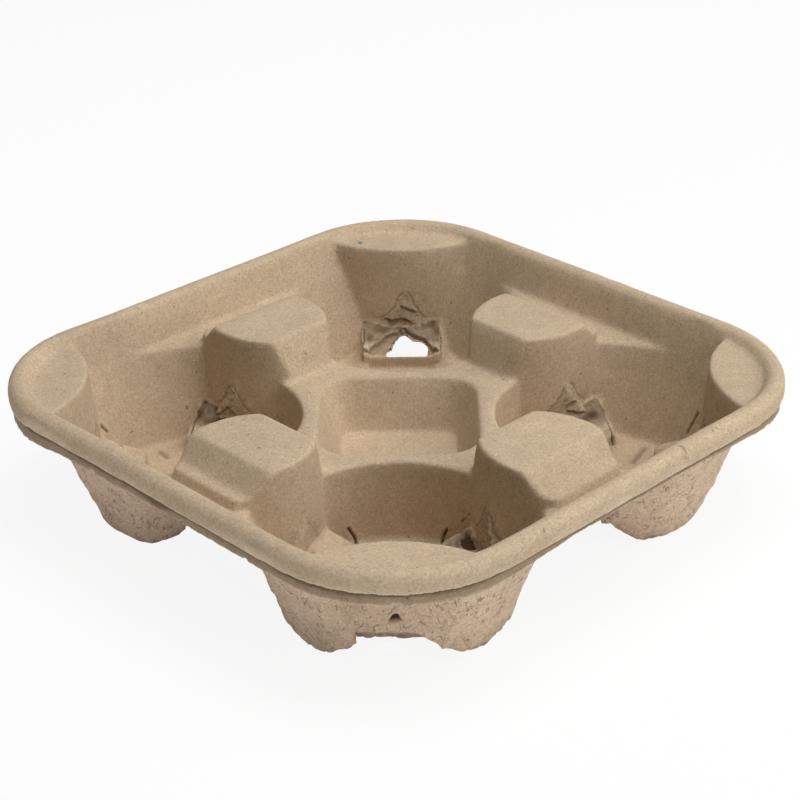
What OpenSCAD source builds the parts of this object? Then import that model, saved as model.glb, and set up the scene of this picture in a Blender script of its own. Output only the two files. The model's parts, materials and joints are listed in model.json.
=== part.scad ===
// Moulded pulp carrier for take-away cups, one piece, standing on its cup feet.
// Millimetres, +Z up, origin on the ground under the middle of the carrier.

/* [Rim] */
// Outside width of the square rim
side = 213; // [200:1:230]
// Outside radius of the rim's corners
corner_r = 47.6; // [42:0.2:52]
// Overall height, from the ground to the crest of the rim
height = 50; // [46:0.5:56]
// Outside radius of the rolled crest
roll_r = 3.5; // [3:0.1:4.5]
// Drop from the crest to the rolled lip's cut edge
lip_drop = 6.9; // [5:0.1:8]
// Depth of the trimmed band below the lip
band_h = 3.9; // [2:0.1:5]
// How far the band stands back from the lip
band_inset = 1; // [0.4:0.1:1.6]

/* [Wall] */
// Thickness of the pulp
wall = 2.2; // [1.6:0.1:2.6]
// Thickness of the cup floors
base_t = 3; // [2:0.1:4]
// Slope of the flared walls and of the rim's inner wall, degrees from upright
flare = 19.4; // [16:0.2:22]
// Slope of the gripping walls, degrees from upright
grip_slope = 4; // [2:0.5:6]

/* [Cups] */
// Radius of a cup's floor
floor_r = 35; // [32:0.5:37]
// Easing of the edge between a cup's wall and its floor, outside
foot_r = 3.2; // [2.6:0.2:6]
// Reach of a flared lobe past the cup axis, towards the middle of the carrier
lobe_back = 8; // [4:0.5:12]
// How far the lobes cut into the rim's inner wall
lobe_bite = 0.6; // [0.2:0.1:1.2]

/* [Corner lands] */
// Drop from the crest to the lands and the tops of the blocks
land_drop = 3.6; // [3:0.1:6]
// Distance from the cup axis to a land's edge
land_grip = 36; // [34:0.5:39]
// Radius of a land's bulged edge
land_r = 46; // [40:1:60]

/* [Side blocks] */
// Length of a block's top, from the rim towards the middle
block_l = 24.8; // [18:0.2:28]
// Distance across from the cup axis to a block's outer corner
block_grip_out = 30; // [28:0.5:34]
// Distance across from the cup axis to a block's inner corner
block_grip_in = 36.2; // [34:0.5:40]
// Bulge of a block's gripping side
block_bulge = 2.9; // [1.5:0.1:4]
// Slope of a block's outer face, degrees from upright
block_out_slope = 45; // [30:1:50]
// Slope of a block's inner face, degrees from upright
block_in_slope = 22; // [12:1:28]

/* [Grooves] */
// Drop from the crest to the floor of the groove behind each block
groove_drop = 14.6; // [12:0.2:18]
// Width of the groove's floor
groove_w = 9.4; // [7:0.2:12]
// Drop from the crest to the ledge at the foot of each block
ledge_drop = 10.8; // [8:0.2:12]
// Width of the ledge
ledge_w = 4.1; // [2:0.1:6]

/* [Middle] */
// Drop from the crest to the saddles around the well
saddle_drop = 18.5; // [16:0.5:24]
// Width of a saddle's top
saddle_w = 5.4; // [4:0.2:8]
// Drop from the crest to the floor of the well
well_drop = 37; // [30:0.5:40]
// Slope of the well's walls, degrees from upright
well_slope = 22; // [12:1:26]
// Corner radius of the well's floor
well_corner = 5; // [3:0.5:8]

/* [Foot notches] */
// Width of the arch between two feet
notch_w = 31; // [24:0.5:34]
// Distance from the cup axis to the inner end of an arch
notch_in = 20; // [17:0.5:24]
// Easing of the feet's edges along an arch
notch_r = 5; // [3:0.5:5.5]
// Height of an arch's roof at its inner end
notch_low = 8; // [6:0.2:10]
// Height of an arch's roof at the wall
notch_high = 15.5; // [13:0.5:18]
// Height of the pointed dent over an arch
peak_h = 27; // [22:0.5:32]
// Width of the pointed dent at its foot
peak_w = 15; // [10:0.5:20]
// Depth of the pointed dent
peak_t = 0.5; // [0.3:0.1:1.2]
// Turn of the arches beside the blocks, degrees from the corner arch
notch_turn = 110; // [104:1:114]

/* [Tears] */
// Width of the hole torn in one corner arch
tear_w = 17.6; // [10:0.2:20]
// Length of that hole, up the arch
tear_l = 11.2; // [6:0.2:12]
// How far that hole lies to one side of its arch's middle
tear_shift = -1.5; // [-3:0.1:3]
// Width of the slits torn in the other corner arches
slit_w = 7; // [4:0.5:10]
// Length of the slits, up the arch
slit_l = 4.6; // [3:0.2:8]

/* [Hidden] */
$fn = 96;

pulp = [0.73, 0.63, 0.52];
over = 5;                                     // how far cutting bodies run past a face
lip_z = height - lip_drop;
band_z = lip_z - band_h;
roll_z = height - roll_r;
land_z = height - land_drop;
ledge_z = height - ledge_drop;
groove_z = height - groove_drop;
saddle_z = height - saddle_drop;
well_z = height - well_drop;

// The rim's centre line, and its inner wall at the roll and at the groove
rim_half = side / 2 - roll_r;
arc_r = corner_r - roll_r;
arc_c = rim_half - arc_r;
wall_half = rim_half - roll_r / cos(flare);
groove_half = wall_half - (roll_z - groove_z) * tan(flare);

// Cups stand against the rim; blocks stand inside the groove
lobe_top_r = floor_r + (roll_z - base_t) * tan(flare);
cup_c = wall_half + lobe_bite - lobe_top_r;
ledge_out = groove_half - groove_w;
block_out = ledge_out - ledge_w - (land_z - ledge_z) * tan(block_out_slope);
block_in = block_out - block_l;
cup_d = cup_c * sqrt(2);
land_c = cup_d + land_grip + land_r;

// A block's bulged side: an arc through both corners, about a centre past the block's middle
side_a = [block_in, cup_c - block_grip_in];
side_b = [block_out, cup_c - block_grip_out];
side_chord = norm(side_b - side_a);
side_r = side_chord * side_chord / (8 * block_bulge) + block_bulge / 2;
side_n = [side_b[1] - side_a[1], side_a[0] - side_b[0]] / side_chord;
side_c = (side_a + side_b) / 2 + side_n * (side_r - block_bulge);
block_grip = norm(side_c - [cup_c, cup_c]) - side_r;

// The well fills what the cups and saddles leave
saddle_cup_r = floor_r + (saddle_z - base_t) * tan(grip_slope);
well_top = cup_d - saddle_cup_r - saddle_w;
well_half = well_top - (saddle_z - well_z) * tan(well_slope);

// The saddles' flat reaches under the inner ends of the blocks
saddle_r = block_in + block_l / 4;
// The rim's inner wall runs on below the floor of the groove
wall_sink = 1;

corners = [45, 135, 225, 315];
// The corner whose arch is torn open
torn_corner = 45;
// Ragged outline of a tear, in parts of its length and width
ragged = [[0, 0.5], [0.24, 0.36], [0.34, 0.26], [0.62, 0.2], [0.9, 0.1], [1, 0], [0.9, -0.1], [0.74, -0.16],
          [0.68, -0.32], [0.46, -0.5], [0.26, -0.46], [0, -0.5]];
// A tear starts this far from the inner end of its arch
tear_edge = 0.5;

// A point on the arc that eases an edge
function eased(x, z, r, a) = [x + r * cos(a), z + r * sin(a)];

// A rounded square slab
module slab(half, r, z0, z1) {
    c = half - r;
    translate([0, 0, z0]) linear_extrude(z1 - z0) {
        square([2 * half, 2 * c], center = true);
        square([2 * c, 2 * half], center = true);
        for (x = [-c, c], y = [-c, c]) translate([x, y]) circle(r);
    }
}

// A round post or pocket whose radius is r at height z and changes by its slope
module taper(r, z, slope, z0, z1) {
    translate([0, 0, z0])
        cylinder(h = z1 - z0, r1 = r + (z0 - z) * tan(slope), r2 = r + (z1 - z) * tan(slope));
}

// A round pocket: radius r at height z, floor at z0, the edge of its floor eased over edge_r
module pocket(r, z, slope, z0, z1, edge_r) {
    foot = r + (z0 - z) * tan(slope) + edge_r * (tan(slope) - 1 / cos(slope));
    rotate_extrude() polygon([
        [0, z0], for (t = [0, 0.5, 1]) eased(foot, z0 + edge_r, edge_r, -90 + t * (90 - slope)),
        [r + (z1 - z) * tan(slope), z1], [0, z1]]);
}

// A square pocket with rounded corners and sloping walls, half wide at z0
module square_pocket(half, r, slope, z0, z1) {
    c = half - r;
    top = half + (z1 - z0) * tan(slope);
    for (x = [-c, c], y = [-c, c]) translate([x, y, 0]) taper(r, z0, slope, z0, z1);
    for (turn = [0, 90]) rotate([0, 0, turn]) rotate([90, 0, 0])
        linear_extrude(2 * c, center = true)
            polygon([[-half, z0], [half, z0], [top, z1], [-top, z1]]);
}

// A bar with sloping long sides: its top is z high, from a to b across at height z_ref
module bar(a, b, slope_a, slope_b, z_ref, z, length) {
    low = -over;
    rotate([90, 0, 0]) linear_extrude(length, center = true) polygon([
        [a - (z_ref - low) * tan(slope_a), low], [b + (z_ref - low) * tan(slope_b), low],
        [b + (z_ref - z) * tan(slope_b), z], [a - (z_ref - z) * tan(slope_a), z]]);
}

// Section of the rim, out from the centres of its corner arcs, drawn in by g
module rim_section(g) {
    r = roll_r - g;
    foot = g > 0 ? -over : groove_z - wall_sink;
    skirt = g > 0 ? -over : band_z;
    inner = arc_r - r / cos(flare) - (roll_z - foot) * tan(flare);
    outer = arc_r + roll_r - g;
    band = outer - band_inset;
    translate([arc_r, roll_z]) circle(r);
    polygon([
        [arc_r - r * cos(flare), roll_z + r * sin(flare)], [inner, foot], [arc_r, foot], [arc_r, skirt],
        [band, skirt], [band, lip_z], [outer, lip_z], [outer, roll_z]]);
}

// The rim, swept round the carrier
module rim(g) {
    for (turn = [0, 90, 180, 270]) rotate([0, 0, turn]) {
        translate([arc_c, arc_c, 0]) rotate_extrude(angle = 90) rim_section(g);
        translate([arc_c, arc_c, 0]) rotate([90, 0, 0]) linear_extrude(2 * arc_c) rim_section(g);
    }
}

// Air in one cup: a steep pocket, flared towards the rim
module cup_air(g) {
    z0 = base_t * (1 - g / wall);
    edge_r = foot_r - wall + g;
    pocket(floor_r + g / cos(grip_slope), base_t, grip_slope, z0, height + over, edge_r);
    intersection() {
        pocket(floor_r + g / cos(flare), base_t, flare, z0, height + over, edge_r);
        translate([-lobe_back - g, -side, 0]) cube([2 * side, 2 * side, height]);
    }
}

// The land between a cup and its corner of the rim
module land(g) {
    r = land_r - g / cos(grip_slope);
    intersection() {
        translate([land_c, 0, 0]) taper(r, land_z, -grip_slope, -over, land_z - g);
        rotate([0, 0, 45]) slab(rim_half, arc_r, -over, height);
    }
}

// A block between two cups, with the ledge at its foot, on the +X side
module block(g) {
    r = side_r - g / cos(grip_slope);
    intersection() {
        union() {
            bar(block_in + g / cos(block_in_slope), block_out - g / cos(block_out_slope),
                block_in_slope, block_out_slope, land_z, land_z - g, side);
            bar(block_in + block_l / 2, ledge_out - g / cos(flare), 0, flare, ledge_z, ledge_z - g, side);
        }
        translate([side_c[0], side_c[1], 0]) taper(r, land_z, -grip_slope, -over, height);
        translate([side_c[0], -side_c[1], 0]) taper(r, land_z, -grip_slope, -over, height);
        translate([0, -side, -over]) cube([groove_half, 2 * side, height + over]);
    }
}

// What easing takes off a foot's edge along an arch
module edge_cut() {
    polygon([[0, -over], [notch_r, -over], for (t = [0, 45, 90]) eased(notch_r, notch_r, notch_r, -90 - t)]);
}

// The arch between two feet and the pointed dent over it, along +X from the cup axis
module arch(g, grip) {
    w = notch_w / 2 - g;
    a = notch_in + g;
    rise = (notch_high - notch_low) / (grip - notch_in);
    peak = peak_h - notch_high;
    foot = notch_low - notch_high;
    rotate([90, 0, 0]) linear_extrude(2 * w, center = true)
        polygon([[a, -over], [grip + over, -over], [grip + over, notch_high - g], [grip, notch_high - g],
                 [a, notch_low + rise * g - g]]);
    if (g > 0) for (m = [0, 1]) mirror([0, m, 0]) {
        translate([a, w, 0]) rotate([90, 0, 90]) linear_extrude(grip + over - a) edge_cut();
        translate([a, w, 0]) rotate([0, 0, 90]) rotate_extrude(angle = 90) edge_cut();
        translate([a, 0, 0]) rotate([90, 0, 180]) linear_extrude(w) edge_cut();
    }
    if (g == 0) translate([grip - (land_z - notch_high) * tan(grip_slope) - peak_t, 0, notch_high])
        rotate([0, grip_slope, 0]) rotate([90, 0, 90]) linear_extrude(over + peak_t)
            polygon([[-peak_w / 2, foot], [peak_w / 2, foot], [peak_w / 2, 0], [0, peak], [-peak_w / 2, 0]]);
}

// The body under the carrier's upper face, drawn in by g
module mould(g) {
    reach = rim_half - (g > 0 ? 0 : wall);
    low = g > 0 ? -over : 0;
    difference() {
        union() {
            slab(reach, arc_r, low, groove_z - g);
            rim(g);
        }
        translate([0, 0, saddle_z - g]) cylinder(h = height, r = saddle_r + g);
        for (turn = corners) rotate([0, 0, turn]) translate([cup_d, 0, 0]) cup_air(g);
        rotate([0, 0, 45]) square_pocket(well_half + g / cos(well_slope), well_corner + g, well_slope,
                                         well_z - g, height + over);
    }
    for (turn = corners) rotate([0, 0, turn]) {
        land(g);
        rotate([0, 0, 45]) block(g);
        translate([cup_d, 0, 0]) {
            arch(g, land_grip);
            for (m = [0, 1]) mirror([0, m, 0]) rotate([0, 0, notch_turn]) arch(g, block_grip);
        }
    }
}

// A ragged hole square through the roof of a corner arch, along +X from the cup axis
module tear(w, l, shift) {
    roof_slope = atan2(notch_high - notch_low, land_grip - notch_in);
    translate([notch_in, 0, notch_low]) rotate([0, -roof_slope, 0]) translate([tear_edge, shift, -over])
        linear_extrude(2 * over) polygon([for (p = ragged) [p[0] * l, p[1] * w]]);
}

module carrier() {
    color(pulp) difference() {
        intersection() {
            mould(0);
            translate([-side, -side, 0]) cube([2 * side, 2 * side, height + over]);
        }
        mould(wall);
        for (turn = corners) rotate([0, 0, turn]) translate([cup_d, 0, 0]) {
            if (turn == torn_corner) tear(tear_w, tear_l, tear_shift);
            else tear(slit_w, slit_l, 0);
        }
    }
}

carrier();
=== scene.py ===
import bpy, bmesh, json, math, random
import numpy as np
from mathutils import Matrix, Vector, noise


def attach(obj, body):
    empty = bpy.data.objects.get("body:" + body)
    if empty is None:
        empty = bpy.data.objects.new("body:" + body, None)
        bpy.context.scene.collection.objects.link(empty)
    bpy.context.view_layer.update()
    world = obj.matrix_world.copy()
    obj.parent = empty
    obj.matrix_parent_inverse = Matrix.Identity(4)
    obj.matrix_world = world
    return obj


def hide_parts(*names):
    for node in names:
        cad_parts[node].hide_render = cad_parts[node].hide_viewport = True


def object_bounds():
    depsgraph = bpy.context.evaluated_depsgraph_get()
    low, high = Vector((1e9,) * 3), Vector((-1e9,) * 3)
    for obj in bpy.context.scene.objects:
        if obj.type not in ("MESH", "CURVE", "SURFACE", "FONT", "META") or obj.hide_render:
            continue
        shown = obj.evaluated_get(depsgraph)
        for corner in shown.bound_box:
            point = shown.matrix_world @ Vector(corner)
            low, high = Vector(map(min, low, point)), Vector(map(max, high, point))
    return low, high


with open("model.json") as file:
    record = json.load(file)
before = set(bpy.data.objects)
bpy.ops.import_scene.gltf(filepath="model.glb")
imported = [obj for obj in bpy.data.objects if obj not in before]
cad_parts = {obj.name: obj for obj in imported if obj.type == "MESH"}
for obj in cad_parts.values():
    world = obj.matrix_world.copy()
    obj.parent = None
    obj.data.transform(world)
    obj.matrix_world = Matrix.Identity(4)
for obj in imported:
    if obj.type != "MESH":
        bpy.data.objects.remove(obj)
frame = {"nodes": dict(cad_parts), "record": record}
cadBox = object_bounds()
mm = 0.001
lowest, highest = [np.array(c) / mm for c in cadBox]
cupCentre = frame["record"]["mounts"][0]["pos_m"][0] / mm
cups = {"front": (-1, -1), "left": (-1, 1), "right": (1, -1), "back": (1, 1)}
toBack = np.array((1, 1)) / math.sqrt(2)
toRight = np.array((1, -1)) / math.sqrt(2)


# the shell: a copy of the solid, with soft moulded edges, worn feet, creases and tears (mm)
shell = {
    "merge": 0.01,          # corners of the solid this near become one
    "voxel": 0.8,           # grid that the edges are softened on
    "quickVoxel": 1.2,
    "rounds": 6,            # smoothing rounds
    "soft": 0.5,            # share of the way to the neighbours' mean, moulded edges
    "crisp": 0.12,          # the same for the trimmed rim and the torn arch
    "sideRounds": 14,       # rounds that spread which side of the wall a vertex is on
    "sideGain": 8,          # how soon a leaning face counts as one side
    "outerShare": (0.25, -0.25),        # where the outer side's finish sets in, 1 is upper and -1 under
    "finer": (0.06, 0.45),  # a mark over the first is on a mesh twice as fine, over the second four times
    "triangles": 190000,    # most the finished shell may have
    "felt": 0.07,           # fine unevenness of the upper face
    "feltSizes": (7, 2.6),
    "fineFelt": 0.6,        # share of the finer one
    "sway": 0.3,            # slow unevenness of the whole moulding
    "swayUp": 0.6,          # share of it upwards
    "swaySize": 48,
}


def copyOfNode(name):
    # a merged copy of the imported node's mesh, as an object of its own
    bm = bmesh.new()
    bm.from_mesh(frame["nodes"][name].data)
    bmesh.ops.remove_doubles(bm, verts=bm.verts, dist=shell["merge"] * mm)
    mesh = bpy.data.meshes.new("pulpShell")
    bm.to_mesh(mesh)
    bm.free()
    obj = bpy.data.objects.new("pulpShell", mesh)
    bpy.context.scene.collection.objects.link(obj)
    return obj


def applied(obj):
    # bakes the object's modifiers into its mesh
    bpy.context.view_layer.update()
    deps = bpy.context.evaluated_depsgraph_get()
    mesh = bpy.data.meshes.new_from_object(obj.evaluated_get(deps))
    old = obj.data
    obj.modifiers.clear()
    obj.data = mesh
    bpy.data.meshes.remove(old)
    mesh.name = obj.name


def places(mesh):
    # vertex positions in mm
    flat = np.empty(3 * len(mesh.vertices))
    mesh.vertices.foreach_get("co", flat)
    return flat.reshape(-1, 3) / mm


def put(mesh, p):
    # sets vertex positions, kept inside the solid's box
    mesh.vertices.foreach_set("co", (np.clip(p, lowest, highest) * mm).ravel())
    mesh.update()


def normals(mesh):
    flat = np.empty(3 * len(mesh.vertices))
    mesh.vertex_normals.foreach_get("vector", flat)
    return flat.reshape(-1, 3)


def triangles(mesh):
    return sum(len(p.vertices) - 2 for p in mesh.polygons)


def neighbours(mesh):
    # both ends of every edge, and how many edges meet at each vertex
    ends = np.empty(2 * len(mesh.edges), int)
    mesh.edges.foreach_get("vertices", ends)
    a, b = ends.reshape(-1, 2).T
    total = len(mesh.vertices)
    return a, b, np.bincount(a, minlength=total) + np.bincount(b, minlength=total)


def meanAround(values, links):
    a, b, count = links
    return (np.bincount(a, values[b], len(count)) + np.bincount(b, values[a], len(count))) / count


def ramp(x, a, b):
    # 0 at a, 1 at b, eased between
    t = np.clip((x - a) / (b - a), 0, 1)
    return t * t * (3 - 2 * t)


def hump(x, start, top, end):
    # 1 at the top, eased to 0 on both sides
    return ramp(x, start, top) * ramp(x, end, top)


def bell(x, middle, width):
    return np.exp(-((x - middle) / width) ** 2)


def bumps(p, size, shift=0):
    # smooth noise with features of about this size in mm. another shift gives another pattern
    return np.fromiter((noise.noise(q) for q in (p / size + shift).tolist()), float, len(p))


def folds(p, size, shift):
    # crumpled pulp: 1 along the crests of its folds, below 0 between them
    sharp = 2.2
    return 1 - sharp * np.abs(bumps(p, size, shift))


def lineDistance(q, points):
    best = np.full(len(q), np.inf)
    for a, b in zip(points, points[1:]):
        a, b = np.array(a, float), np.array(b, float)
        t = np.clip((q - a) @ (b - a) / ((b - a) @ (b - a)), 0, 1)
        best = np.minimum(best, np.linalg.norm(q - a - t[:, None] * (b - a), axis=1))
    return best


def insideOf(q, points):
    # which points of q lie in a polygon
    odd = np.zeros(len(q), bool)
    for (xa, ya), (xb, yb) in zip(points, points[1:] + points[:1]):
        if ya != yb:
            crossing = xa + (q[:, 1] - ya) * (xb - xa) / (yb - ya)
            odd ^= ((ya > q[:, 1]) != (yb > q[:, 1])) & (q[:, 0] < crossing)
    return odd


def atLeast(values, ids, least):
    values[ids] = np.maximum(values[ids], least)


# the rim: a rolled lip, and under it a trimmed band with a ragged edge
rimEdge = {
    "cornerRadius": 47.6,
    "lip": 43.1,            # height of the lip's lower edge
    "band": 39.2,           # height of the band's lower edge
    # zones: how far in from the rim's edge, how far below the band, how far above the lip
    "crisp": (4, 1.6, 1.2),             # hardly rounded
    "trim": (4.2, 0.9, 0.9),            # ragged
    "outside": (3.6, 0.6, math.inf),    # taken as upper face
    "ragged": 0.3,          # waviness of the trimmed edges
    "waves": ((9, 1, 0), (3.5, 0.8, 70), (1.5, 0.5, 30)),   # size, share and shift of each
    "nick": 0.8,            # height of the nicks in the band's edge
    "nickSize": 5,
    "nickRange": (0.4, 0.6),
    "hang": (1.4, 3.4),     # below the lip, where the band's moves set in
    "drop": 0.8,            # how much lower the band is drawn
    "endDrop": 1.2,         # and how much more at the left and right corners
    "ends": (130, 180),     # difference of X and Y where that sets in
    "shortSide": 1.9,       # how much shorter the band is along the -Y side
    "shortY": (70, 95),     # where that sets in, and along the side its middle and half length
    "shortMiddle": 20,
    "shortHalf": (80, 45),
    "lipWave": 0.6,         # share of the waviness on the lip's lower edge
    "lipIn": (-3, -0.6),
    "faceIn": 2.3,          # the band's face is this near to the rim's edge
    "gap": 1.2,             # depth of the gap under the lip, drawn dark with painted shade
    "gapHeight": 1.3,
    "gapWave": 0.5,         # share of the waviness that it follows
    "gapVaries": (0.75, 0.6, 14),       # mean share of that height, change and its size
    "gapTop": (0, 0.35),
    "gapFoot": (0.5, -0.1),
    "tearAt": (-1, 7),      # middle and half length along Y of the tear in the -X side's gap
    "tearLeft": -100,
    "tearTall": 1.2,
    "tearDeep": 0.5,
    # painted shade: how dark the gap under the lip is drawn, and the band under it in the lip's shadow
    "gapPaintedShade": 0.7,
    "bandPaintedShade": 0.42,
    "bandShadeRange": (0.2, 0.8),
    "lipFibreHighlight": (-0.2, 0.3),            # pale fibre ends and painted highlight along the lip's cut edge: below the lip, half width
    "lipFibreHighlightIn": 0.9,
    # pale fibre ends and painted highlight along the band's lower edge
    "bandFibreHighlight": (3.75, 0.28),
    "bandUnshaded": 0.35,      # half width of the strip along them that is kept free of painted shade
    "leftOut": 1.6,         # how far the left corner of the rim is bent out
    "leftFrom": (100, 130),             # distance from the front-back diagonal
    "leftHeight": (25, 40),
}


def fromRim(p):
    # distance from the rim's outer edge in plan, negative inside, and the way out
    r = rimEdge["cornerRadius"]
    q = np.abs(p[:, :2]) - (highest[0] - r)
    reach = np.hypot(*np.maximum(q, 0).T)
    straight = np.where(q[:, :1] > q[:, 1:], (1, 0), (0, 1))
    outward = np.where((q > 0).all(axis=1)[:, None], q / np.maximum(reach, 1e-6)[:, None], straight)
    return reach + np.minimum(q.max(axis=1), 0) - r, outward * np.sign(p[:, :2])


def onBand(p, zone):
    inward, below, above = rimEdge[zone]
    z = p[:, 2]
    return (fromRim(p)[0] > -inward) & (z > rimEdge["band"] - below) & (z < rimEdge["lip"] + above)


def trimmed(p, moved, marks):
    # a gap under the lip darkened with painted shade, the band below it in painted shade, pale lines along
    # the edges partly painted highlight, wavy edges, the band shorter along the -Y side
    rim, outward = fromRim(p)
    ids = np.nonzero(onBand(p, "trim"))[0]
    x, y, z = p[ids].T
    flat = p[ids] * np.array((1, 1, 0))
    wave = sum(share * bumps(flat, size, shift) for size, share, shift in rimEdge["waves"])
    wave *= rimEdge["ragged"]
    nicks = rimEdge["nick"] * ramp(bumps(flat, rimEdge["nickSize"], 90), *rimEdge["nickRange"])
    short = rimEdge["shortSide"] * ramp(-y, *rimEdge["shortY"])
    short *= ramp(np.abs(x - rimEdge["shortMiddle"]), *rimEdge["shortHalf"])
    drop = rimEdge["drop"] + rimEdge["endDrop"] * ramp(np.abs(x - y), *rimEdge["ends"])
    below = rimEdge["lip"] - z + rimEdge["gapWave"] * wave
    moved[ids, 2] += ramp(below, *rimEdge["hang"]) * (short + wave + nicks - drop)
    moved[ids, 2] += rimEdge["lipWave"] * wave * (below < 0) * ramp(rim[ids], *rimEdge["lipIn"])

    face = rim[ids] > -rimEdge["faceIn"]
    torn = bell(y, *rimEdge["tearAt"]) * (x < rimEdge["tearLeft"])
    mean, change, size = rimEdge["gapVaries"]
    foot = rimEdge["gapHeight"] * (mean + change * bumps(flat, size, 55)) + rimEdge["tearTall"] * torn
    gap = face * ramp(below, *rimEdge["gapTop"]) * ramp(below, *[foot + f for f in rimEdge["gapFoot"]])
    moved[ids, :2] -= outward[ids] * (gap * (rimEdge["gap"] + rimEdge["tearDeep"] * torn))[:, None]
    # painted shade in the gap and on the band under the lip, pale lines along the edges partly painted
    # highlight
    bandPaintedShade = rimEdge["bandPaintedShade"] * ramp(below, *rimEdge["bandShadeRange"])
    atLeast(marks["paintedShadeAndDirt"], ids, face * np.maximum(rimEdge["gapPaintedShade"] * gap, bandPaintedShade))
    atLeast(marks["frayAndHighlight"], ids, bell(below, *rimEdge["lipFibreHighlight"]) * (rim[ids] > -rimEdge["lipFibreHighlightIn"]))
    atLeast(marks["frayAndHighlight"], ids, bell(below, *rimEdge["bandFibreHighlight"]) * face)
    marks["paintedShadeAndDirt"][ids] *= 1 - bell(below, rimEdge["bandFibreHighlight"][0], rimEdge["bandUnshaded"])


# the arches between the feet, three in each cup. creases lie in an arch's own frame:
# points on its wall are (across, height), on its roof (across, out from the cup's axis)
arch = {
    "rises": {0: 0.469, 110: 0.603, -110: 0.603},   # turn from the corner, climb of the roof for each mm
    "innerEnd": 20,         # of the roof, out from the cup's axis
    "low": 8,               # height of the roof at its inner end
    "high": 15.5,           # and where it levels out at the wall
    "wallOver": 0.8,        # this far over the roof is wall
    "out": (15, 40),        # creases lie this far out,
    "half": 24,             # this far across
    "top": 33,              # and below this height
    "wobble": 0.4,          # how far their lines stray
    "wobbleSize": 2.6,
    "grooveSide": (0.25, 2.3),          # raised sides of a groove: share of its depth, widths from its line
    "roofFold": 0.25,       # height of the folds on the roof
    "roofFoldSize": 4,
    "roofOut": (24, 30),    # where they set in
    "roofAside": (15, 11),
    # painted shade between the folds on the roof
    "roofFoldShade": 0.3,
}
spots = [(name, turn) for name in cups for turn in arch["rises"]]
tornArch = ("back", 0)


def inArch(p, spot):
    # places in an arch's own frame: across it, out from the cup's axis, and height over its roof
    name, turn = spot
    cup = np.array(cups[name])
    angle = math.atan2(cup[1], cup[0]) + math.radians(turn)
    rel = p[:, :2] - cup * cupCentre
    out = rel @ np.array((math.cos(angle), math.sin(angle)))
    across = rel @ np.array((-math.sin(angle), math.cos(angle)))
    roof = np.minimum(arch["low"] + (out - arch["innerEnd"]) * arch["rises"][turn], arch["high"])
    return across, out, p[:, 2] - roof


def aroundArch(p, upper, spot):
    # the upper face around an arch: its vertices, and their places with lines strayed
    across, out, over = inArch(p, spot)
    inner, outer = arch["out"]
    near = upper & (out > inner) & (out < outer) & (np.abs(across) < arch["half"]) & (p[:, 2] < arch["top"])
    ids = np.nonzero(near)[0]
    stray = np.stack([bumps(p[ids], arch["wobbleSize"], s) for s in (0, 40)], axis=1) * arch["wobble"]
    plan = np.stack((across[ids], out[ids]), axis=1) + stray
    onWall = over[ids] > arch["wallOver"]
    wall, roof = ids[onWall], ids[~onWall]
    return {
        "all": ids, "plan": plan,
        "wall": wall, "wallAcross": across[wall],
        "wallAt": np.stack((across[wall], p[wall, 2]), axis=1) + stray[onWall],
        "roof": roof, "roofAcross": across[roof], "roofOut": out[roof], "roofAt": plan[~onWall],
        "roofFolds": folds(p[roof], arch["roofFoldSize"], 3),
    }


def groove(marks, ids, d, width, depth, paintedShadeAndDirt):
    # a groove with raised sides, drawn darker along its line as painted shade, where d is the distance from
    # its line
    core = bell(d, 0, width)
    side, away = arch["grooveSide"]
    marks["push"][ids] += depth * (side * bell(d, away * width, width) - core)
    atLeast(marks["paintedShadeAndDirt"], ids, core * paintedShadeAndDirt)


def foldedRoof(marks, around):
    strength = ramp(around["roofOut"], *arch["roofOut"])
    strength *= ramp(np.abs(around["roofAcross"]), *arch["roofAside"])
    marks["push"][around["roof"]] += strength * arch["roofFold"] * around["roofFolds"]
    # painted shade between the folds on the roof
    most = arch["roofFoldShade"]
    atLeast(marks["paintedShadeAndDirt"], around["roof"], strength * np.clip(most - around["roofFolds"], 0, most))


# pointed dents pressed in over the arches: the tip, and both ends of the foot
dents = {
    tornArch: {"tip": (-2, 28.8), "foot": (8, -9.3)},
    ("left", -110): {"tip": (0.9, 27), "foot": (8, -7.5)},
    ("right", 110): {"tip": (-1.3, 27), "foot": (7.5, -9)},
}
dent = {
    "tipAside": (-2, 2),    # the other dents' tips lie between these,
    "tipHeight": (26, 29),
    "foot": (8.2, -8.2),    # and their feet end here
    "footHeight": 18,
    "bottom": 12,           # the crumpled pulp goes on down to here
    "flank": [(1, 0), (0.66, 0.25), (0.42, 0.55), (0.28, 0.85), (0.1, 1)],  # shares of half width and height
    "edge": (0.3, 0.22, 0.6),           # groove along the sides: width, depth, painted shade in it
    "beside": (0.25, 0.12, 0.16),       # and along the wall beside it
    "besideEnd": (20, 17.4),
    "foldSize": 2.3,
    "foldFlat": 2,          # folds are this much lower than wide
    "wrinkle": 0.22,        # depth of the folds
    "sunk": 0.1,
    # painted shade inside the dent, and more between its folds
    "paintedShadeAndDirt": 0.16,
    "foldShade": (0.4, 0.35),           # level of the folds where it sets in, and most of it
}
# this dent is hardly pressed in: half width and height of the solid's, how far it is pushed back
faint = {
    "at": ("front", -110),
    "press": 0.35,          # share of the other dents' marks
    "half": 7.5,
    "shoulder": 15.5,
    "top": 27,
    "back": 0.45,
    "soft": (-0.6, 0.6),
}
chance = random.Random(11)
for spot in spots:
    tip = (chance.uniform(*dent["tipAside"]), chance.uniform(*dent["tipHeight"]))
    dents.setdefault(spot, {"tip": tip, "foot": dent["foot"]})


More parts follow.
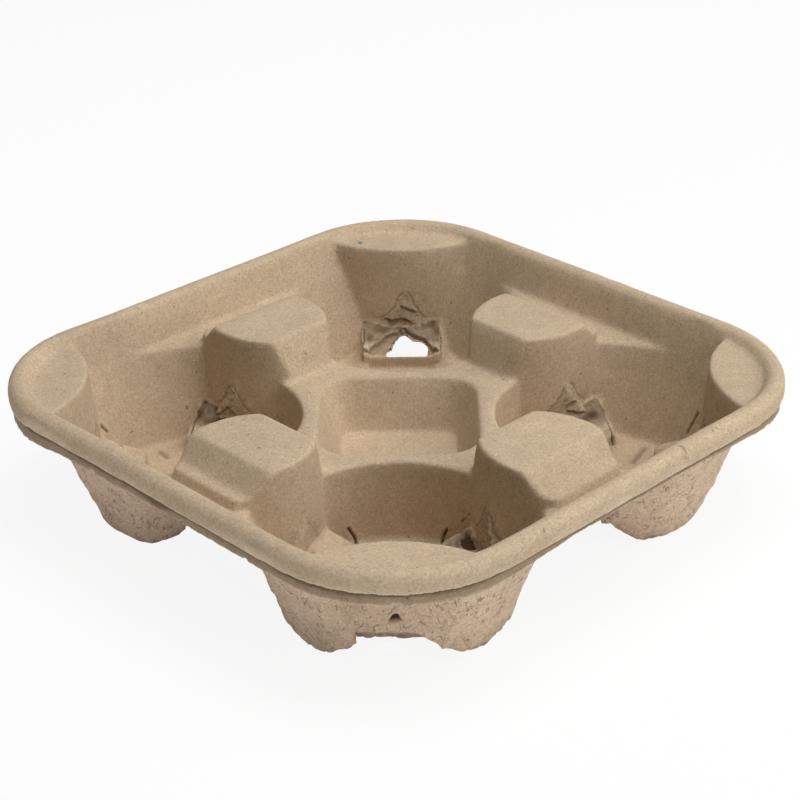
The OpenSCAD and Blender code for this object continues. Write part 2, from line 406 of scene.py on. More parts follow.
def pressedDent(p, marks, around, spot):
    # the pointed dent over an arch, and the faint crease on each side of it, with painted shade in the
    # grooves, in the dent and between its folds
    wall, at = around["wall"], around["wallAt"]
    (tipAt, top), (left, right) = dents[spot]["tip"], dents[spot]["foot"]
    foot = dent["footHeight"]
    outline = [(tipAt + (left - tipAt) * f, foot + (top - foot) * t) for f, t in dent["flank"]]
    outline += [(tipAt + (right - tipAt) * f, foot + (top - foot) * t) for f, t in dent["flank"][::-1]]
    d = lineDistance(at, outline)
    press = 1
    if spot == faint["at"]:
        press = faint["press"]
        taper = 1 - np.clip((p[wall, 2] - faint["shoulder"]) / (faint["top"] - faint["shoulder"]), 0, 1)
        inside = faint["half"] * taper - np.abs(around["wallAcross"])
        marks["push"][wall] -= faint["back"] * ramp(inside, *faint["soft"])
    width, depth, paintedShadeAndDirt = dent["edge"]
    groove(marks, wall, d, width, depth * press, paintedShadeAndDirt * press)
    aside, height = dent["besideEnd"]
    for end, start in ((aside, left), (-aside, right)):
        groove(marks, wall, lineDistance(at, [(start, foot), (end, height)]), *dent["beside"])
    inner = insideOf(at, outline + [(right, dent["bottom"]), (left, dent["bottom"])]) * np.clip(d, 0, 1)
    crumple = folds(p[wall] * np.array((1, 1, dent["foldFlat"])), dent["foldSize"], 7)
    marks["push"][wall] += press * inner * (dent["wrinkle"] * crumple - dent["sunk"])
    level, most = dent["foldShade"]
    atLeast(marks["paintedShadeAndDirt"], wall, press * inner * (dent["paintedShadeAndDirt"] + np.clip(level - crumple, 0, most)))


# fine slits where the roof tore from the feet beside it, and painted shade on those roofs
slits = {
    tornArch: [[(15.2, 20.5), (15, 26), (14.6, 32.5)], [(-15.4, 22), (-15.8, 29), (-15, 33)]],
    ("right", 110): [[(-15.2, 30), (-14.6, 25.6), (-13.9, 22.5), (-13.8, 19.6)]],
    ("left", -110): [[(14.8, 31), (14.4, 27), (13.8, 22)]],
}
slit = {
    "groove": (0.3, 0.9, 0.9),          # width, depth, painted shade in it
    # painted shade on the roofs beside the slits
    "shadeAside": (15.6, 14.6),
    "shadeOut": (24, 28),
    "shadeHalf": (1, 5),     # only on one half of a side arch
    "shadeTorn": 0.8,        # share on the torn arch
    "roofShade": 0.95,
    "shadeFolds": 0.35,      # how much less on the crests of the folds
}


def slitRoof(marks, around, spot):
    # painted shade on the roof, less on the crests of its folds
    shadeAndDirt = ramp(np.abs(around["roofAcross"]), *slit["shadeAside"])
    shadeAndDirt *= ramp(around["roofOut"], *slit["shadeOut"])
    if spot == tornArch:
        shadeAndDirt *= slit["shadeTorn"]
    else:
        shadeAndDirt *= ramp(-np.sign(spot[1]) * around["roofAcross"], *slit["shadeHalf"])
    atLeast(marks["paintedShadeAndDirt"], around["roof"], shadeAndDirt * (slit["roofShade"] - slit["shadeFolds"] * around["roofFolds"]))
    for points in slits[spot]:
        groove(marks, around["all"], lineDistance(around["plan"], points), *slit["groove"])


# torn flaps on the wall, which hang over what lies below them, with painted shadow under them and pale
# edges, partly painted highlight
flaps = {
    tornArch: [[(-6, 20.6), (-2.2, 22.6), (0.4, 23.2)], [(-4, 17), (0, 18.6), (4, 17.4), (6.5, 18.4)]],
    ("right", 110): [[(-4.6, 20.4), (-2.3, 20.4), (0.8, 18.8)],
                     [(-9, 14.2), (-6, 15.8), (-3.8, 16), (0.5, 17.4)]],
    ("left", -110): [[(-1, 16.8), (2.3, 19.6), (5, 16.8), (9.5, 14)]],
}
flap = {
    "ends": (0.5, 1),       # fades from this far outside its ends to this far inside
    "lifted": (0.25, 1.3),  # height over its edge, and how far up
    "sunk": (0.55, 1.8),    # depth below its edge, and how far down
    # painted shadow under the flap: how dark, and how far down
    "paintedShadeAndDirt": (0.85, 1.4),
    "frayAndHighlight": 0.6,
    "frayAndHighlightAt": (0.2, 0.3),   # over the edge, half width
}


def hungFlap(marks, around, points):
    wall, (x, z) = around["wall"], around["wallAt"].T
    xs, zs = zip(*points)
    f = z - np.interp(x, xs, zs)
    before, after = flap["ends"]
    fade = ramp(x, xs[0] - before, xs[0] + after) * ramp(x, xs[-1] + before, xs[-1] - after)
    (high, up), (deep, down), (paintedShadeAndDirt, shadeReach) = flap["lifted"], flap["sunk"], flap["paintedShadeAndDirt"]
    marks["push"][wall] += fade * np.where(f > 0, high * np.exp(-f / up), -deep * np.exp(f / down))
    # painted shadow under the flap, and a pale edge that is partly painted highlight
    atLeast(marks["paintedShadeAndDirt"], wall, fade * np.where(f < 0, paintedShadeAndDirt * np.exp(f / shadeReach), 0))
    atLeast(marks["frayAndHighlight"], wall, flap["frayAndHighlight"] * fade * bell(f, *flap["frayAndHighlightAt"]))


# a torn pit in the roof of one arch in the front cup, drawn dark inside and around with painted shade
pit = {
    "at": ("front", 110),
    "outline": [(13.6, 28.2), (10.7, 29), (6.6, 28.8), (2, 27.8), (5, 25.2), (9.1, 24.8), (12, 25.1)],
    "ragged": 0.7,
    "raggedSize": 1.5,
    "side": 0.5,            # width of its slope
    "depth": 1.25,
    "lip": (0.3, 0.6),      # height and width of the raised edge
    "folds": (0.4, 3),      # and of the folds around it
    "paintedShadeAndDirt": (0.7, 0.5),    # painted shade: most around it, and how much less on the crests of the folds
    "shadeReach": 3.5,
    "frayAndHighlight": 0.3,
    "frayAndHighlightAt": (0.1, 0.25),
}


def sunkPit(p, marks, around):
    roof, crumple = around["roof"], around["roofFolds"]
    ragged = np.stack([bumps(p[roof], pit["raggedSize"], s) for s in (60, 20)], axis=1)
    at = around["roofAt"] + pit["ragged"] * ragged
    d = lineDistance(at, pit["outline"] + pit["outline"][:1])
    deep = insideOf(at, pit["outline"]) * ramp(d, 0, pit["side"])
    beside = deep == 0
    (lip, lipWidth), (fold, foldWidth), (most, less) = pit["lip"], pit["folds"], pit["paintedShadeAndDirt"]
    marks["push"][roof] += beside * (lip * bell(d, 0, lipWidth) + fold * bell(d, 0, foldWidth) * crumple)
    marks["push"][roof] -= pit["depth"] * deep
    # painted shade inside the pit and around it, less on the crests of the folds
    shadeAndDirt = beside * bell(d, 0, pit["shadeReach"]) * np.clip(most - less * crumple, 0, most)
    atLeast(marks["paintedShadeAndDirt"], roof, np.maximum(deep, shadeAndDirt))
    atLeast(marks["frayAndHighlight"], roof, pit["frayAndHighlight"] * beside * bell(d, *pit["frayAndHighlightAt"]))


# the torn arch: the ply around its hole is sunk, up to this line on the roof, and drawn darker with painted
# shade
ply = {
    "edge": [(-13.8, 23), (-9.9, 27.2), (-6, 30), (-3.3, 31.5), (-1.5, 32.2), (1.8, 31.6), (5.7, 30.1),
             (9.6, 26.9), (13.6, 23.2)],
    "ragged": 0.9,
    "raggedSize": 1.7,
    "side": 0.7,            # width of the slope at that line
    "depth": 1.25,
    "inner": (20.9, 21.7),  # where it ends at the roof's inner end
    "half": 14.6,
    "lifted": 0.45,         # how far the roof stands up along the line
    "liftedFrom": 22,
    "liftedWidth": 1.2,
    # painted shade on the sunk ply, and painted shadow along the torn line
    "paintedShadeAndDirt": 0.3,
    "edgeShadeAndDirt": (0.65, 1.5),           # painted shadow, more along the line, and how wide
    "frayAndHighlightAt": (0.15, 0.5),  # up to this far past the line, half width
    # kept crisp around the hole: middle and half across, range out and over the roof
    "crispMiddle": -1.5,
    "crispHalf": 12,
    "crispOut": (20, 33),
    "crispOver": (-6, 1),
}


def sunkPly(p, marks, around):
    roof, out, (x, at) = around["roof"], around["roofOut"], around["roofAt"].T
    f = np.interp(x, *zip(*ply["edge"])) + ply["ragged"] * bumps(p[roof], ply["raggedSize"], 9) - at
    sunk = ramp(f, 0, ply["side"]) * ramp(out, *ply["inner"]) * (np.abs(around["roofAcross"]) < ply["half"])
    lifted = (f < 0) * (out > ply["liftedFrom"]) * bell(np.minimum(f, 0), 0, ply["liftedWidth"])
    marks["push"][roof] += ply["lifted"] * lifted - ply["depth"] * sunk
    # painted shade on the sunk ply, darkest under the torn line
    paintedShadeAndDirt, wide = ply["edgeShadeAndDirt"]
    atLeast(marks["paintedShadeAndDirt"], roof, sunk * (ply["paintedShadeAndDirt"] + paintedShadeAndDirt * np.exp(-np.maximum(f, 0) / wide)))
    past, half = ply["frayAndHighlightAt"]
    atLeast(marks["frayAndHighlight"], roof, (f < past) * bell(f, 0, half))


# cracks placed on the whole carrier, drawn dark with painted shade: points, width, depth
cracks = [
    ([(-15.9, -38.7, 8.4), (-16.3, -38.1, 5.8), (-17.2, -37.6, 3.2)], 0.4, 1.1),
    ([(-39, -15.8, 9.3), (-37.5, -16.5, 5.9), (-37.4, -17.4, 3.2)], 0.4, 1.1),
    ([(-16.8, -45.5, 12), (-14.3, -44.1, 12.9), (-13.8, -46.3, 15.9), (-15.5, -49.8, 21.2)], 0.3, 0.5),
    ([(-62.3, 87.9, 18.2), (-60.4, 87.2, 14.9), (-61.1, 83, 13.5), (-60.4, 79, 12)], 0.35, 0.8),
    ([(89, -60.7, 19.9), (87.8, -59.6, 16), (86.7, -58.1, 11.8)], 0.35, 0.7),
    ([(22.4, -102.8, 50), (22.9, -104.4, 49.7), (22.7, -105.8, 48.5), (22, -106.5, 46.9)], 0.3, 0.4),
    ([(-43.7, 79.4, 3), (-44.7, 74.1, 3)], 0.9, 0.35),
    ([(80.2, -44.7, 3), (69.4, -48, 3)], 1, 0.35),
    ([(-51, -106.4, 44.5), (-50.6, -105.6, 48), (-51.4, -103.4, 49.9)], 0.25, 0.25),
]
crack = {
    "margin": 3,            # around the points, where the mesh is looked at
    "wobble": 0.35,         # how far a line strays
    "wobbleSize": 3,
    "paintedShadeAndDirt": (0.2, 0.95),   # painted shade in it: more than its depth by this, and most of it
}


def cracked(p, upper, marks):
    more, most = crack["paintedShadeAndDirt"]
    for points, width, depth in cracks:
        low, high = np.min(points, axis=0) - crack["margin"], np.max(points, axis=0) + crack["margin"]
        ids = np.nonzero(upper & np.all((p > low) & (p < high), axis=1))[0]
        stray = np.stack([bumps(p[ids], crack["wobbleSize"], s) for s in (5, 25, 45)], axis=1)
        d = lineDistance(p[ids] + stray * crack["wobble"], points)
        groove(marks, ids, d, width, depth, min(most, depth + more))


# the small hole outside over the front arch, as (across, height), drawn dark inside with painted shade
outerHole = {
    "at": ("front", 0),
    "outline": [(-2.7, 17.6), (-0.6, 20.8), (0.6, 20.8), (2.6, 17.8)],
    "out": 30,              # the mesh is looked at further out than this, and within these
    "half": 8,
    "heights": (14, 25),
    "ragged": 0.4,
    "raggedSize": 2,
    "side": 0.6,            # width of its slope
    "depth": 1.4,
    "lip": 0.5,             # height of the raised edge
    "lipAt": (0.5, 0.8),    # its distance and width
}


def holed(p, upper, marks):
    across, out = inArch(p, outerHole["at"])[:2]
    low, high = outerHole["heights"]
    near = ~upper & (out > outerHole["out"]) & (np.abs(across) < outerHole["half"])
    ids = np.nonzero(near & (p[:, 2] > low) & (p[:, 2] < high))[0]
    ragged = outerHole["ragged"] * bumps(p[ids], outerHole["raggedSize"], 12)[:, None]
    at = np.stack((across[ids], p[ids, 2]), axis=1) + ragged
    d = lineDistance(at, outerHole["outline"] + outerHole["outline"][:1])
    deep = insideOf(at, outerHole["outline"]) * ramp(d, 0, outerHole["side"])
    raised = outerHole["lip"] * (deep == 0) * bell(d, *outerHole["lipAt"])
    marks["push"][ids] += raised - outerHole["depth"] * deep
    # painted shade inside the hole
    atLeast(marks["paintedShadeAndDirt"], ids, deep)


def creased(p, upper):
    # push along the normal in mm, how much painted shade and dirt the pulp gets, and how much fray and
    # painted highlight
    marks = {name: np.zeros(len(p)) for name in ("push", "paintedShadeAndDirt", "frayAndHighlight")}
    for spot in spots:
        around = aroundArch(p, upper, spot)
        pressedDent(p, marks, around, spot)
        foldedRoof(marks, around)
        if spot in slits:
            slitRoof(marks, around, spot)
        for points in flaps.get(spot, []):
            hungFlap(marks, around, points)
        if spot == pit["at"]:
            sunkPit(p, marks, around)
        if spot == tornArch:
            sunkPly(p, marks, around)
    cracked(p, upper, marks)
    holed(p, upper, marks)
    return marks


# the feet's outer face: lumps, folds and creases that fade out upwards
feet = {
    "heights": (36, 12),    # roughness sets in below the first and is full at the second
    "least": 0.3,           # share of it above
    "lump": 0.45,           # rise and fall of the face
    "lumpSize": 9,
    "swell": 0.3,           # how far the lower edge stands out
    "swellHeights": (9, 2),
    "drawnIn": 0.5,         # share of that by which the face over it is drawn in
    "fold": 0.5,            # height of the folds
    "foldSize": 4.2,
    "foldTall": 0.55,       # folds are drawn out upwards by one over this
    "crease": 0.55,         # depth of the creases between the folds
    "creaseHalf": 0.13,
    "creasePatch": 9,       # size of the patches that have creases
    "creaseRange": (-0.15, 0.25),
    # painted shade in the creases
    "creaseShade": 0.2,
    "grit": 0.2,
    "gritSize": 1.8,
    "edgeShadeAndDirt": 0.45,      # dirt along the lower edge
    "edgeHeights": (6, 1.5),
    "edgePatch": 2.4,
    "edgeRange": (0.05, 0.4),
}
# feet worn round beside the arches, in an arch's frame
worn = {
    "corner": 4,            # lift of the feet's corners outside
    "inner": 1.8,           # and inside the cup
    "innerAside": (20, 16.5),           # where the second goes over into the first
    "aside": (24, 15),
    "wallOut": 33,          # further out than this, the lift sets in across here:
    "wallAside": (7, 11),
    "roofAside": 12.8,      # and nearer to the cup's axis, here
    "heights": (13, 3),
    "out": (14, 26),
    "outEnd": 45,
}
# the front arch hangs down on its right, and the foot on its left stands into it
bent = {
    "at": ("front", 0),
    "out": (21, 30),
    "outEnd": 47,
    "sag": 5.5,             # how far it hangs down
    "sagAcross": (4.5, 15.5, 19.5),
    "sagHeights": (3, 14, 25),
    "lean": 0.35,           # how far the wall leans in for each mm down
    "knob": 3,              # how far the foot stands in
    "knobAcross": (-15.5, 2.6),
    "knobHeight": (8, 4),
    "toe": 1.5,             # how far its lowest edge is drawn back
    "toeHeights": (4, 0),
}


def wrinkledFeet(p, upper, marks):
    ids = np.nonzero(~upper)[0]
    q, z = p[ids], p[ids, 2]
    low = ramp(z, *feet["heights"])
    rough = feet["least"] + (1 - feet["least"]) * low
    fold = bumps(q * np.array((1, 1, feet["foldTall"])), feet["foldSize"])
    crease = bell(fold, 0, feet["creaseHalf"])
    crease *= ramp(bumps(q, feet["creasePatch"], 80), *feet["creaseRange"])
    marks["push"][ids] += low * feet["lump"] * bumps(q, feet["lumpSize"], 33)
    marks["push"][ids] += feet["swell"] * (ramp(z, *feet["swellHeights"]) - feet["drawnIn"] * low)
    fine = feet["grit"] * bumps(q, feet["gritSize"], 15)
    marks["push"][ids] += rough * (feet["fold"] * fold - feet["crease"] * crease + fine)
    # painted shade in the creases
    atLeast(marks["paintedShadeAndDirt"], ids, feet["creaseShade"] * rough * crease)
    shadeAndDirt = ramp(bumps(q, feet["edgePatch"], 61), *feet["edgeRange"])
    atLeast(marks["paintedShadeAndDirt"], ids, feet["edgeShadeAndDirt"] * ramp(z, *feet["edgeHeights"]) * shadeAndDirt)


def feltedFace(p, upper, marks):
    ids = np.nonzero(upper)[0]
    coarse, fine = [bumps(p[ids], size, s) for size, s in zip(shell["feltSizes"], (0, 50))]
    marks["push"][ids] += shell["felt"] * (coarse + shell["fineFelt"] * fine)


def wornFeet(p, upper, moved):
    for spot in spots:
        across, out = inArch(p, spot)[:2]
        aside = np.abs(across)
        inside = worn["inner"] + (worn["corner"] - worn["inner"]) * ramp(aside, *worn["innerAside"])
        lift = np.where(upper, inside, worn["corner"]) * ramp(aside, *worn["aside"])
        lift *= np.where(out > worn["wallOut"], ramp(aside, *worn["wallAside"]), aside > worn["roofAside"])
        lift *= ramp(p[:, 2], *worn["heights"])
        moved[:, 2] += lift * ramp(out, *worn["out"]) * (out < worn["outEnd"])


def bentArch(p, moved):
    across, out = inArch(p, bent["at"])[:2]
    z = p[:, 2]
    reach = ramp(out, *bent["out"]) * (out < bent["outEnd"])
    sag = bent["sag"] * hump(across, *bent["sagAcross"]) * hump(z, *bent["sagHeights"]) * reach
    moved[:, 2] -= sag
    moved[:, :2] += (bent["lean"] * sag)[:, None] * toBack
    knob = bent["knob"] * bell(z, *bent["knobHeight"]) - bent["toe"] * ramp(z, *bent["toeHeights"])
    moved[:, :2] += (bell(across, *bent["knobAcross"]) * reach * knob)[:, None] * toRight


def swayed(p, moved):
    # slow sway, and the left corner of the rim bent out
    sway = np.stack([bumps(p, shell["swaySize"], s) for s in (3, 23, 43)], axis=1)
    moved += shell["sway"] * sway * np.array((1, 1, shell["swayUp"]))
    corner = ramp(-p[:, :2] @ toRight, *rimEdge["leftFrom"]) * ramp(p[:, 2], *rimEdge["leftHeight"])
    moved[:, :2] -= rimEdge["leftOut"] * corner[:, None] * toRight


def upperShare(mesh):
    # 1 on the upper face, -1 on the under face, spread along the edges so that steep walls agree
    links = neighbours(mesh)
    share = np.clip(normals(mesh)[:, 2] * shell["sideGain"], -1, 1)
    for i in range(shell["sideRounds"]):
        share = meanAround(share, links)
    share[onBand(places(mesh), "outside")] = 1
    return share


def softened(obj):
    # rounds the moulded edges
    p = places(obj.data)
    across, out, over = inArch(p, tornArch)
    (inner, outer), (under, above) = ply["crispOut"], ply["crispOver"]
    hole = (np.abs(across - ply["crispMiddle"]) < ply["crispHalf"]) & (out > inner) & (out < outer)
    crisp = onBand(p, "crisp") | hole & (over > under) & (over < above)
    strength = np.where(crisp, shell["crisp"], shell["soft"])[:, None]
    links = neighbours(obj.data)
    for i in range(shell["rounds"]):
        p += strength * (np.stack([meanAround(p[:, k], links) for k in range(3)], axis=1) - p)
    put(obj.data, p)


def refined(obj, least, withBand):
    # halves the mesh along creases and the rim's band, where the grid is too coarse for them
    p = places(obj.data)
    marks = creased(p, upperShare(obj.data) > 0)
    near = np.any([np.abs(values) > least for values in marks.values()], axis=0)
    if withBand:
        near |= onBand(p, "trim")
    bm = bmesh.new()
    bm.from_mesh(obj.data)
    edges = [e for e in bm.edges if near[e.verts[0].index] and near[e.verts[1].index]]
    bmesh.ops.subdivide_edges(bm, edges=edges, cuts=1, use_grid_fill=True)
    bm.to_mesh(obj.data)
    bm.free()
    print("refined", len(edges), "edges")


def worked(obj):
    # moves the vertices, and keeps painted shade with dirt, fray with painted highlight, and outer side as
    # attributes for the material
    mesh = obj.data
    p = places(mesh)
    share = upperShare(mesh)
    upper = share > 0
    marks = creased(p, upper)
    wrinkledFeet(p, upper, marks)
    feltedFace(p, upper, marks)
    moved = p + normals(mesh) * marks.pop("push")[:, None]
    trimmed(p, moved, marks)
    wornFeet(p, upper, moved)
    bentArch(p, moved)
    swayed(p, moved)
    put(mesh, moved)
    marks["outer"] = ramp(share, *shell["outerShare"])
    for name, values in marks.items():
        mesh.attributes.new(name, "FLOAT", "POINT").data.foreach_set("value", np.clip(values, 0, 1))


pulpShell = copyOfNode("carrier")
remesh = pulpShell.modifiers.new("voxels", "REMESH")
remesh.mode = "VOXEL"
remesh.voxel_size = shell["voxel"] * mm
applied(pulpShell)
print("remeshed", len(pulpShell.data.vertices))
softened(pulpShell)
for least, withBand in zip(shell["finer"], (True, False)):
    refined(pulpShell, least, withBand)
worked(pulpShell)
print("worked", len(pulpShell.data.vertices))
thin = pulpShell.modifiers.new("thin", "DECIMATE")
count = triangles(pulpShell.data)
thin.ratio = min(1, shell["triangles"] / count)
applied(pulpShell)
put(pulpShell.data, places(pulpShell.data))
for p in pulpShell.data.polygons:
    p.use_smooth = True
print("thinned", count, "to", triangles(pulpShell.data))
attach(pulpShell, "root")
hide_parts("carrier")


def linear(code):
    # sRGB hex to linear
    parts = [int(code[i:i + 2], 16) / 255 for i in (1, 3, 5)]
    return [c / 12.92 if c <= 0.04045 else ((c + 0.055) / 1.055) ** 2.4 for c in parts] + [1]


def addNode(tree, kind, output, settings, inputs):
    # adds one node, sets or links its inputs, and gives back one of its outputs
    node = tree.nodes.new(kind)
    for key, value in settings.items():
        setattr(node, key, value)
    for key, value in inputs.items():
        if isinstance(value, bpy.types.NodeSocket):
            tree.links.new(value, node.inputs[key])
        else:
            node.inputs[key].default_value = value
    return node.outputs[output]


# moulded paper pulp: matte felted fibres, mottled grey-brown, specked with dark and pale bits
pulp = {
    "face": "#C1AC91",
    "outer": "#DBC2A9",     # outer side, pinker, and drawn lighter as painted light for the light bounced up onto the feet
    "deep": "#452C16",      # dirt and shadow in creases
    "frayAndHighlight": "#DCCBB2",      # torn fibre ends and pale specks, and painted highlight along cut and torn edges
    "roughness": 0.92,
    "specular": 0.05,       # dry fibres hardly shine
    "crackLine": (0.004, 0.024),        # distance from the pattern's middle value where a crack fades out
    "crackPatch": (0.51, 0.6),          # range of the pattern that cracks lie in
    "crackTall": (1, 1, 0.5),           # cracks run upwards
    "pitRange": (0.52, 0.7),
    "grain": 0.6,           # height of the grain, where the fibres' is 1
    "upperHeight": 0.5,     # share of it on the upper face
    "crackDepth": 2.5,
    "bump": 0.6,
    "bumpDepth": 0.35,      # mm
    "fleck": 0.85,
    "fleckCore": 0.6,       # share of a fleck's radius that has its full colour
}
# patterns: size in mm, detail, roughness of the detail; fibres are drawn coarser than real ones, to show
patterns = {
    "mottle": (28, 2, 0.5),
    "cloud": (5, 3, 0.6),
    "fibre": (1.1, 3, 0.75),
    "grain": (0.45, 1, 0.5),
    "speck": (1.7, 1, 0.5),
    "pale": (1.3, 0, 0.5),
    "crackle": (3, 1, 0.5),
    "crease": (1.7, 1, 0.5),
    "patch": (3.6, 1, 0.5),
    "pit": (0.9, 2, 0.6),
}
# how a pattern shades the pulp: its range, and the shade at both ends
shades = {
    "mottle": (0.3, 0.7, 0.94, 1.05),
    "cloud": (0.3, 0.7, 0.95, 1.05),
    "fibre": (0.25, 0.75, 0.8, 1.2),
    "grain": (0.25, 0.75, 0.86, 1.14),
}
# what lies on the pulp, specks and dirt along with painted shade and painted highlight: its source, range,
# strength and colour
layers = [
    ("speck", 0.72, 0.8, 0.5, "deep"),
    ("pale", 0.76, 0.84, 0.35, "frayAndHighlight"),
    # painted shade in the outer side's cracks and pits
    ("crack", 0, 1, 0.45, "deep"),
    ("hollow", 0, 1, 0.2, "deep"),
    ("frayAndHighlight", 0, 1, 0.8, "frayAndHighlight"),
    ("paintedShadeAndDirt", 0, 1, 0.92, "deep"),
]
# coloured flecks: place and radius in mm, colour
flecks = [
    ((68.9, 91.4, 46.4), 1.2, "#3F6E86"),
    ((49, -9, 31.5), 0.6, "#5F7F62"),
    ((-20, -21.5, 26.5), 0.6, "#3A2C20"),
]


def pulpMaterial():
    mat = bpy.data.materials.new("mouldedPulp")
    mat.use_nodes = True
    tree = mat.node_tree
    bsdf = tree.nodes["Principled BSDF"]
    at = addNode(tree, "ShaderNodeTexCoord", "Object", {}, {})
    value = {name: addNode(tree, "ShaderNodeAttribute", "Fac", {"attribute_name": name}, {})
             for name in ("paintedShadeAndDirt", "frayAndHighlight", "outer")}
    tall = addNode(tree, "ShaderNodeVectorMath", 0, {"operation": "MULTIPLY"}, {0: at, 1: pulp["crackTall"]})
    for name, (size, detail, rough) in patterns.items():
        value[name] = addNode(tree, "ShaderNodeTexNoise", "Fac", {}, {
            "Vector": tall if name in ("crackle", "crease") else at,
            "Scale": 1 / (size * mm), "Detail": detail, "Roughness": rough})

    # short cracks and pits, only on the outer side, drawn dark as painted shade
    value["crack"] = 0
    for name, where in (("crackle", "patch"), ("crease", "cloud")):
        level = addNode(tree, "ShaderNodeMath", 0, {"operation": "SUBTRACT"}, {0: value[name], 1: 0.5})
        level = addNode(tree, "ShaderNodeMath", 0, {"operation": "ABSOLUTE"}, {0: level})
        core, edge = pulp["crackLine"]
        line = addNode(tree, "ShaderNodeMapRange", "Result", {}, {
            "Value": level, "From Min": core, "From Max": edge, "To Min": 1, "To Max": 0})
        low, high = pulp["crackPatch"]
        patch = addNode(tree, "ShaderNodeMapRange", "Result", {}, {
            "Value": value[where], "From Min": low, "From Max": high})
        patch = addNode(tree, "ShaderNodeMath", 0, {"operation": "MULTIPLY"}, {0: patch, 1: value["outer"]})
        line = addNode(tree, "ShaderNodeMath", 0, {"operation": "MULTIPLY"}, {0: line, 1: patch})
        value["crack"] = addNode(tree, "ShaderNodeMath", 0, {"operation": "MAXIMUM"}, {
            0: line, 1: value["crack"]})
    low, high = pulp["pitRange"]
    pitted = addNode(tree, "ShaderNodeMapRange", "Result", {}, {
        "Value": value["pit"], "From Min": low, "From Max": high})
    value["hollow"] = addNode(tree, "ShaderNodeMath", 0, {"operation": "MULTIPLY"}, {
        0: pitted, 1: value["outer"]})

    tone = addNode(tree, "ShaderNodeMix", 2, {"data_type": "RGBA"}, {
        "Factor": value["outer"], 6: linear(pulp["face"]), 7: linear(pulp["outer"])})
    for name, (low, high, dark, light) in shades.items():
        shade = addNode(tree, "ShaderNodeMapRange", "Result", {}, {
            "Value": value[name], "From Min": low, "From Max": high, "To Min": dark, "To Max": light})
        tone = addNode(tree, "ShaderNodeMix", 2, {"data_type": "RGBA", "blend_type": "MULTIPLY"}, {
            "Factor": 1.0, 6: tone, 7: shade})
    for name, low, high, strength, colour in layers:
        share = addNode(tree, "ShaderNodeMapRange", "Result", {}, {
            "Value": value[name], "From Min": low, "From Max": high, "To Min": 0, "To Max": strength})
        tone = addNode(tree, "ShaderNodeMix", 2, {"data_type": "RGBA"}, {
            "Factor": share, 6: tone, 7: linear(pulp[colour])})
    for place, radius, colour in flecks:
        away = addNode(tree, "ShaderNodeVectorMath", "Value", {"operation": "DISTANCE"}, {
            0: at, 1: [c * mm for c in place]})
        share = addNode(tree, "ShaderNodeMapRange", "Result", {}, {
            "Value": away, "From Min": pulp["fleckCore"] * radius * mm, "From Max": radius * mm,
            "To Min": pulp["fleck"], "To Max": 0})
        tone = addNode(tree, "ShaderNodeMix", 2, {"data_type": "RGBA"}, {
            "Factor": share, 6: tone, 7: linear(colour)})
    tree.links.new(tone, bsdf.inputs["Base Color"])

    height = addNode(tree, "ShaderNodeMath", 0, {"operation": "MULTIPLY_ADD"}, {
        0: value["grain"], 1: pulp["grain"], 2: value["fibre"]})
    coarse = addNode(tree, "ShaderNodeMapRange", "Result", {}, {
        "Value": value["outer"], "To Min": pulp["upperHeight"], "To Max": 1})
    height = addNode(tree, "ShaderNodeMath", 0, {"operation": "MULTIPLY"}, {0: height, 1: coarse})
    height = addNode(tree, "ShaderNodeMath", 0, {"operation": "MULTIPLY_ADD"}, {
        0: value["crack"], 1: -pulp["crackDepth"], 2: height})
    bump = addNode(tree, "ShaderNodeBump", "Normal", {}, {
        "Strength": pulp["bump"], "Distance": pulp["bumpDepth"] * mm, "Height": height})
    tree.links.new(bump, bsdf.inputs["Normal"])
    bsdf.inputs["Roughness"].default_value = pulp["roughness"]
    bsdf.inputs["Specular IOR Level"].default_value = pulp["specular"]
    return mat


pulpShell.data.materials.clear()
pulpShell.data.materials.append(pulpMaterial())
print("pulp laid on")


# white paper floor: mostly plain white to the camera, so that the shadow stays but is faint
studio = {
    "floorSize": 3,
    "floorColour": "#F6F6F5",
    "floorRoughness": 0.9,
    "floorSpecular": 0.1,
    "floorWhite": 0.9,      # share of plain white that the camera sees
    "sky": 0.13,
}
# lamps: direction as right, away and up in the picture, light on a face square to it, then width,
# height and distance
lamps = {
    "top": ((0.16, 0, 1), 0.64, 0.7, 0.7, 1.2),
    "side": ((0.82, -0.2, 0.56), 0.68, 1.3, 1.3, 1.2),
    "fill": ((-0.6, -0.8, 0.05), 0.19, 1, 0.14, 1.2),
}


def floorMaterial():
    mat = bpy.data.materials.new("whitePaper")
    mat.use_nodes = True
    tree = mat.node_tree
    bsdf = tree.nodes["Principled BSDF"]
    bsdf.inputs["Base Color"].default_value = linear(studio["floorColour"])
    bsdf.inputs["Roughness"].default_value = studio["floorRoughness"]
    bsdf.inputs["Specular IOR Level"].default_value = studio["floorSpecular"]
    seen = 0
    for ray in ("Is Camera Ray", "Is Glossy Ray", "Is Transmission Ray"):
        path = addNode(tree, "ShaderNodeLightPath", ray, {}, {})
        seen = addNode(tree, "ShaderNodeMath", 0, {"operation": "MAXIMUM"}, {0: path, 1: seen})
    share = addNode(tree, "ShaderNodeMath", 0, {"operation": "MULTIPLY"}, {0: seen, 1: studio["floorWhite"]})
    plain = addNode(tree, "ShaderNodeEmission", 0, {}, {"Color": (1, 1, 1, 1), "Strength": 1.0})
    both = addNode(tree, "ShaderNodeMixShader", 0, {}, {0: share, 1: bsdf.outputs[0], 2: plain})
    tree.links.new(both, tree.nodes["Material Output"].inputs["Surface"])
    return mat


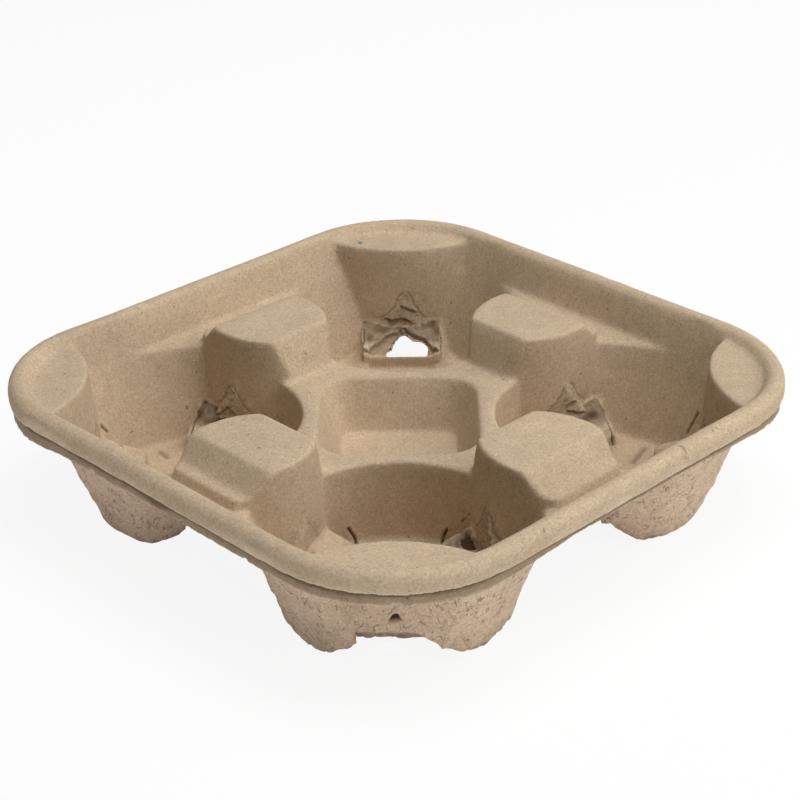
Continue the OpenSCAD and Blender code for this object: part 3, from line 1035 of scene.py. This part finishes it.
bm = bmesh.new()
bmesh.ops.create_grid(bm, x_segments=1, y_segments=1, size=studio["floorSize"])
floorMesh = bpy.data.meshes.new("floor")
bm.to_mesh(floorMesh)
bm.free()
floor = bpy.data.objects.new("floor", floorMesh)
bpy.context.scene.collection.objects.link(floor)
floorMesh.materials.append(floorMaterial())

world = bpy.data.worlds.new("studio")
bpy.context.scene.world = world
world.use_nodes = True
world.node_tree.nodes["Background"].inputs["Color"].default_value = (1, 1, 1, 1)
world.node_tree.nodes["Background"].inputs["Strength"].default_value = studio["sky"]


# the photograph's camera, found from the rim
view = {
    "place": (-0.4229, -0.4377, 0.3582),
    "yaw": 44.07,
    "pitch": 27.84,
    "roll": -0.93,
    "focal": 2009.6,       # in pixels of a frame this wide
    "frame": 800,
}
yaw, pitch, roll = [math.radians(view[k]) for k in ("yaw", "pitch", "roll")]
right = Vector((math.cos(yaw), -math.sin(yaw), 0))
away = Vector((math.sin(yaw), math.cos(yaw), 0))
up = Vector((0, 0, 1))
forward = away * math.cos(pitch) - up * math.sin(pitch)
down = -(away * math.sin(pitch) + up * math.cos(pitch))
imageRight = right * math.cos(roll) - down * math.sin(roll)
imageDown = right * math.sin(roll) + down * math.cos(roll)
lens = bpy.data.cameras.new("camera")
lens.sensor_width = 36
lens.lens = view["focal"] / view["frame"] * lens.sensor_width
camera = bpy.data.objects.new("camera", lens)
camera.matrix_world = Matrix.Translation(view["place"]) @ Matrix(
    (imageRight, -imageDown, -forward)).transposed().to_4x4()
bpy.context.scene.collection.objects.link(camera)
bpy.context.scene.camera = camera
bpy.context.scene.view_settings.view_transform = "Standard"

for name, ((r, a, u), level, width, height, distance) in lamps.items():
    # level 1 on a face square to the lamp renders a colour as written
    towards = (right * r + away * a + up * u).normalized()
    data = bpy.data.lights.new(name, "AREA")
    data.shape = "RECTANGLE"
    data.size = width
    data.size_y = height
    data.energy = level * (math.pi * distance) ** 2
    obj = bpy.data.objects.new(name, data)
    obj.location = towards * distance
    obj.rotation_euler = (-towards).to_track_quat("-Z", "Y").to_euler()
    bpy.context.scene.collection.objects.link(obj)
print("lit")
